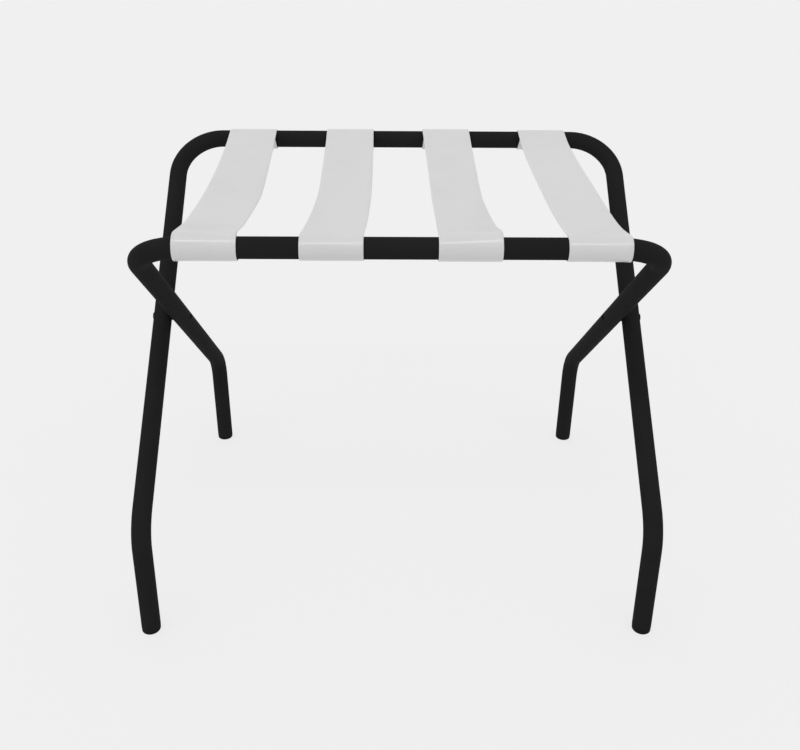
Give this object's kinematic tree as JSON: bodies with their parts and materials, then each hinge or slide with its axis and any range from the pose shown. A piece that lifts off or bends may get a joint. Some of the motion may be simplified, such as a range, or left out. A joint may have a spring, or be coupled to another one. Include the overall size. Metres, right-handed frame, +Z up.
{
  "type": "folding luggage rack",
  "caption": "Scissor-folding luggage rack of bent round steel tube, with crossed frames pivoted at the sides, plain straps between the top rails and capped feet.",
  "frame": {"origin": "on the floor, midway between the four feet", "axes": "+X along the rails to the right, +Y from the front rail to the rear rail, +Z up"},
  "size_m": [0.6098, 0.4298, 0.5011],
  "materials": {
    "powder_coat": "black satin powder coat on steel tube",
    "rivet_steel": "black oxide steel, satin",
    "foot_plastic": "black moulded plastic, matt",
    "spacer_nylon": "black nylon, matt",
    "strap": "smooth white coated fabric, low sheen"
  },
  "bodies": {
    "outer_frame": {"outer_frame_tube": "powder_coat", "foot_cap_front_left": "foot_plastic", "foot_cap_front_right": "foot_plastic", "pivot_rivet_left": "rivet_steel", "pivot_rivet_right": "rivet_steel", "pivot_spacer_left": "spacer_nylon", "pivot_spacer_right": "spacer_nylon", "strap_outer_left": "strap", "strap_inner_left": "strap", "strap_inner_right": "strap", "strap_outer_right": "strap"},
    "inner_frame": {"inner_frame_tube": "powder_coat", "foot_cap_rear_left": "foot_plastic", "foot_cap_rear_right": "foot_plastic"}
  },
  "joints": [
    {"name": "fold", "type": "hinge", "parent": "outer_frame", "child": "inner_frame", "pos_m": [0, 0, 0.315], "axis": [-1, 0, 0], "range_deg": [0, 90], "deforming": ["strap_outer_left", "strap_inner_left", "strap_inner_right", "strap_outer_right"]}
  ]
}
